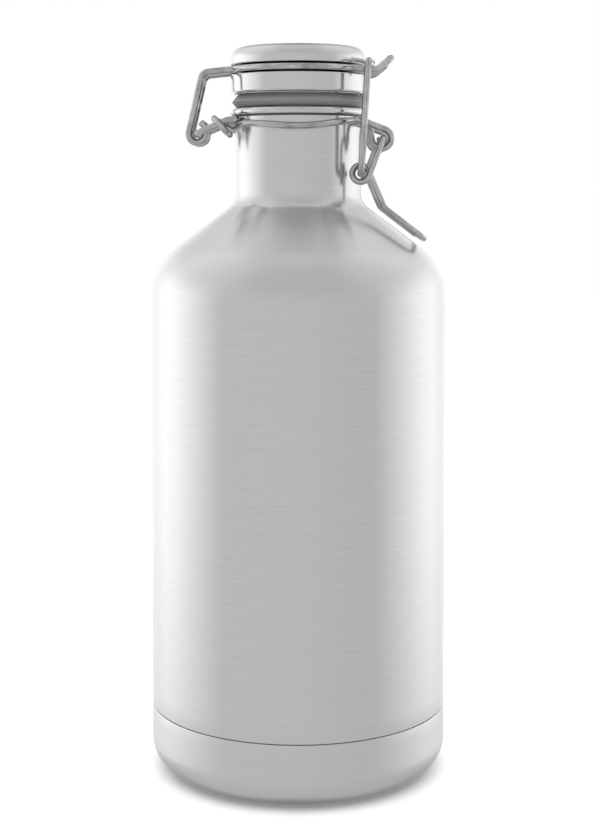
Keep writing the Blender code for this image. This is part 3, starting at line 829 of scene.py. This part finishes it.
def make_link(mat, link_pin):
    """Link that hooks over the cap wire's tab and hangs in the lever's coils."""
    side_y = -23.0
    end_y = -15.6
    top_z = 286.9
    shoulder_x = 27.4
    hook = (29.25, -12.0)
    near = [Vector((link_pin[0], y, link_pin[1])) for y in (end_y, side_y)]
    near.append(Vector((shoulder_x, side_y, top_z)))
    near.append(Vector((hook[0], hook[1], top_z)))
    path = relaxed(rounded(both_halves(near), 2.6))
    return wire("link_wire", path, HEAVY_WIRE, mat, "link", "link_bail")


def make_lever(mat, pivot, link_pin):
    """Lever: two pivot ends, a coil at each side for the link, and a U-shaped handle."""
    pin_end_y = -12.3
    strand_y = -20.0
    arm_y = -17.2
    coil_radius = 3.35
    bend = (34.2, 229.0)
    tip = (50.1, 216.8)
    enter = tangent_angle(link_pin, coil_radius, pivot, -1.0)
    leave = tangent_angle(link_pin, coil_radius, bend, 1.0) - 360.0
    near = [Vector((pivot[0], y, pivot[1])) for y in (pin_end_y, strand_y)]
    near += coil(link_pin, coil_radius, enter, leave, strand_y, arm_y)
    near.append(Vector((bend[0], arm_y, bend[1])))
    near.append(Vector((tip[0], arm_y, tip[1])))
    path = relaxed(rounded(both_halves(near), 3.5))
    return wire("lever_handle_wire", path, LEVER_WIRE, mat, "lever", "lever_wire")


# ------------------------------------------------------------------------ studio


def make_world():
    """White studio when seen directly; reflections see the shades of its walls, ceiling and floor.

    turn is 0 in front of the bottle, where the camera is, 0.5 at its sides and 1 behind it.
    """
    world = bpy.data.worlds.new("studio")
    bpy.context.scene.world = world
    world.use_nodes = True
    graph = Graph(world.node_tree)
    out = graph.nodes["World Output"]
    studio = graph.nodes["Background"]
    x, y, z = graph.split(graph.new("ShaderNodeTexCoord").outputs["Generated"])
    turn = graph.math("ARCTAN2", x, graph.times(y, -1.0))
    turn = graph.times(graph.math("ABSOLUTE", turn), 1.0 / math.pi)
    front = 0.44
    sides = [(0.0, front), (0.34, front), (0.42, 0.59), (0.50, 0.73), (0.60, 0.89)]
    sides += [(0.70, 0.935), (0.80, 0.76), (1.0, 0.66)]
    wall = graph.minus(graph.ramp(turn, sides), front)
    above_floor = graph.remap(z, -0.50, -0.15, smooth=True)
    wall = graph.plus(graph.times(wall, above_floor), front)
    high = [(0.0, 0.38), (0.20, 0.40), (0.35, 0.475), (0.47, 0.52), (0.58, 0.58)]
    high += [(0.70, 0.62), (0.79, 0.56), (0.87, 0.50), (0.93, 0.30), (1.0, 0.24)]
    zenith = 0.45
    upper = graph.blend(graph.ramp(turn, high), zenith, graph.remap(z, 0.86, 0.97, smooth=True))
    room = graph.blend(wall, upper, graph.remap(z, 0.12, 0.50, smooth=True))
    dim_floor = graph.remap(z, -1.0, -0.20, 0.80, 0.90)
    far = graph.remap(turn, 0.60, 0.90, smooth=True)
    under = graph.remap(z, -0.75, -0.35, 1.0, 0.0, smooth=True)
    shadow = graph.remap(graph.times(far, under), 0.0, 1.0, 1.0, 0.45)
    dim_floor = graph.times(dim_floor, shadow)
    dim_right = graph.remap(x, 0.0, 1.0, 1.0, 0.90)
    light = graph.times(room, graph.times(dim_floor, dim_right))
    graph.put(studio.inputs["Color"], light)
    studio.inputs["Strength"].default_value = STUDIO_STRENGTH
    white = graph.new("ShaderNodeBackground")
    white.inputs["Color"].default_value = (1.0, 1.0, 1.0, 1.0)
    white.inputs["Strength"].default_value = 1.0
    mix = graph.new("ShaderNodeMixShader")
    seen = graph.new("ShaderNodeLightPath").outputs["Is Camera Ray"]
    graph.put(mix.inputs[0], seen)
    graph.put(mix.inputs[1], studio.outputs[0])
    graph.put(mix.inputs[2], white.outputs[0])
    graph.put(out.inputs["Surface"], mix.outputs[0])


def make_floor():
    """Plain pale floor under the bottle."""
    half = 3.0
    mesh = bpy.data.meshes.new("floor")
    square = [(-half, -half, 0.0), (half, -half, 0.0), (half, half, 0.0), (-half, half, 0.0)]
    mesh.from_pydata(square, [], [(0, 1, 2, 3)])
    mesh.materials.append(dull_material("floor_paper", (0.86, 0.86, 0.86), 0.8, 0.002, 0.01, 0.02))
    floor = bpy.data.objects.new("floor", mesh)
    bpy.context.scene.collection.objects.link(floor)
    floor.visible_glossy = False


def make_sun():
    """Soft light from overhead that whitens the floor and is not seen in the steel."""
    data = bpy.data.lights.new("overhead", "SUN")
    data.energy = SUN_STRENGTH
    data.angle = math.radians(SUN_WIDTH_DEG)
    light = bpy.data.objects.new("overhead", data)
    light.location = (0.0, 0.0, 1.0)
    light.visible_glossy = False
    bpy.context.scene.collection.objects.link(light)


def make_camera():
    """Camera in front of the bottle, level with its neck and looking slightly down."""
    data = bpy.data.cameras.new("camera")
    data.lens = CAMERA_LENS
    data.sensor_width = 36.0
    data.shift_y = CAMERA_SHIFT
    camera = bpy.data.objects.new("camera", data)
    camera.location = CAMERA_PLACE
    camera.rotation_euler = (math.radians(90.0 - CAMERA_TILT_DEG), 0.0, 0.0)
    bpy.context.scene.collection.objects.link(camera)
    bpy.context.scene.camera = camera


def joint_place(record, name):
    """A joint's (X, Z) place in millimetres."""
    for joint in record["behaviour"]["joints"]:
        if joint["name"] == name:
            return (joint["pos_m"][0] / MM, joint["pos_m"][2] / MM)
    raise KeyError(name)


def recolor(node, mat):
    """Give a CAD node that stays its procedural material."""
    for slot in bpy.data.objects[node].material_slots:
        slot.material = mat


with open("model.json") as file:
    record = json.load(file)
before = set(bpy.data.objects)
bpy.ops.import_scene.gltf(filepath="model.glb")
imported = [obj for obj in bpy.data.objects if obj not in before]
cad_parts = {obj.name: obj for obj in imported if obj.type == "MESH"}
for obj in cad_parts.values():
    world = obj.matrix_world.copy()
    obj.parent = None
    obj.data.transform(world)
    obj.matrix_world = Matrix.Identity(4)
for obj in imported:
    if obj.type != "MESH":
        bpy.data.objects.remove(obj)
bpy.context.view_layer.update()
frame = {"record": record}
record = frame["record"]
hinge = joint_place(record, "cap_hinge")
pivot = joint_place(record, "lever_pivot")
link_pin = joint_place(record, "link_swing")

# Bands of painted shade: heights from and to, then the radii with the most and with no painted shade.
cap_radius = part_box("cap_shell")[1].x / MM
# Painted shade in the cap's wire groove.
groove = (GROOVE_LOW_Z - 0.1, GROOVE_HIGH_Z + 0.3, cap_radius - 0.9, cap_radius - 0.1)
lip_top_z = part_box("inner_vessel")[1].z / MM
lip_low_z = lip_top_z - 2.0 * LIP_NOSE
# Painted shadow under the vessel's rolled lip.
under_lip = (lip_low_z - 0.3, lip_low_z + 0.5, LIP_RADIUS, LIP_RADIUS + 1.0)

steel = (0.71, 0.71, 0.71)
bright_steel = (0.69, 0.69, 0.69)
shell_steel = brushed_round("shell_brushed", steel, 0.26, -1.0)
base_steel = brushed_round("base_satin", steel, 0.33, 1.0, 0.5, 0.6)
# The cap's steel gets painted shade in its groove, and the vessel's steel gets a painted shadow under
# its lip.
cap_steel = brushed_round("cap_brushed", steel, 0.20, -1.0, 0.6, 0.7, groove)
vessel_steel = polished_steel("vessel_polished", bright_steel, 0.12, under_lip)
pan_steel = polished_steel("pan_polished", bright_steel, 0.12)
wire_steel = drawn_wire("wire_drawn", (0.54, 0.54, 0.54), 0.11)
silicone = dull_material("silicone_grey", (0.19, 0.187, 0.195), 0.5, 0.0004, 0.10, 0.05)

make_shell(shell_steel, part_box("outer_shell"))
make_base_cup(base_steel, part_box("base_cup"))
make_vessel(vessel_steel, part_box("outer_shell")[1].x / MM, lip_top_z)
make_cap(cap_steel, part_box("cap_shell"))
make_pan(pan_steel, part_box("cap_pan"))
make_gasket(silicone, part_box("gasket"))
make_cap_wire(wire_steel, hinge)
make_hinge_bail(wire_steel, hinge)
make_collar_wire(wire_steel)
make_link(wire_steel, link_pin)
make_lever(wire_steel, pivot, link_pin)

floor_steel = brushed_round("floor_mill", (0.45, 0.45, 0.45), 0.42, 1.0, 0.3, 0.5)
recolor("vacuum_floor", floor_steel)
recolor("getter_clip", floor_steel)
recolor("getter", dull_material("getter_sintered", (0.22, 0.21, 0.20), 0.75, 0.0003, 0.2, 0.3))
recolor("port_seal", dull_material("port_glass_solder", (0.16, 0.20, 0.22), 0.18, 0.0008, 0.15, 0.03))
recolor("base_adhesive", dull_material("adhesive_black", (0.07, 0.07, 0.075), 0.5, 0.0010, 0.15, 0.2))
recolor("cap_core", dull_material("core_plastic_white", (0.74, 0.74, 0.71), 0.5, 0.0006, 0.05, 0.08))
recolor("cap_foam", dull_material("foam_cream", (0.80, 0.77, 0.66), 0.9, 0.0007, 0.12, 0.5))

make_world()
make_floor()
make_sun()
make_camera()
bpy.context.scene.view_settings.view_transform = "Standard"
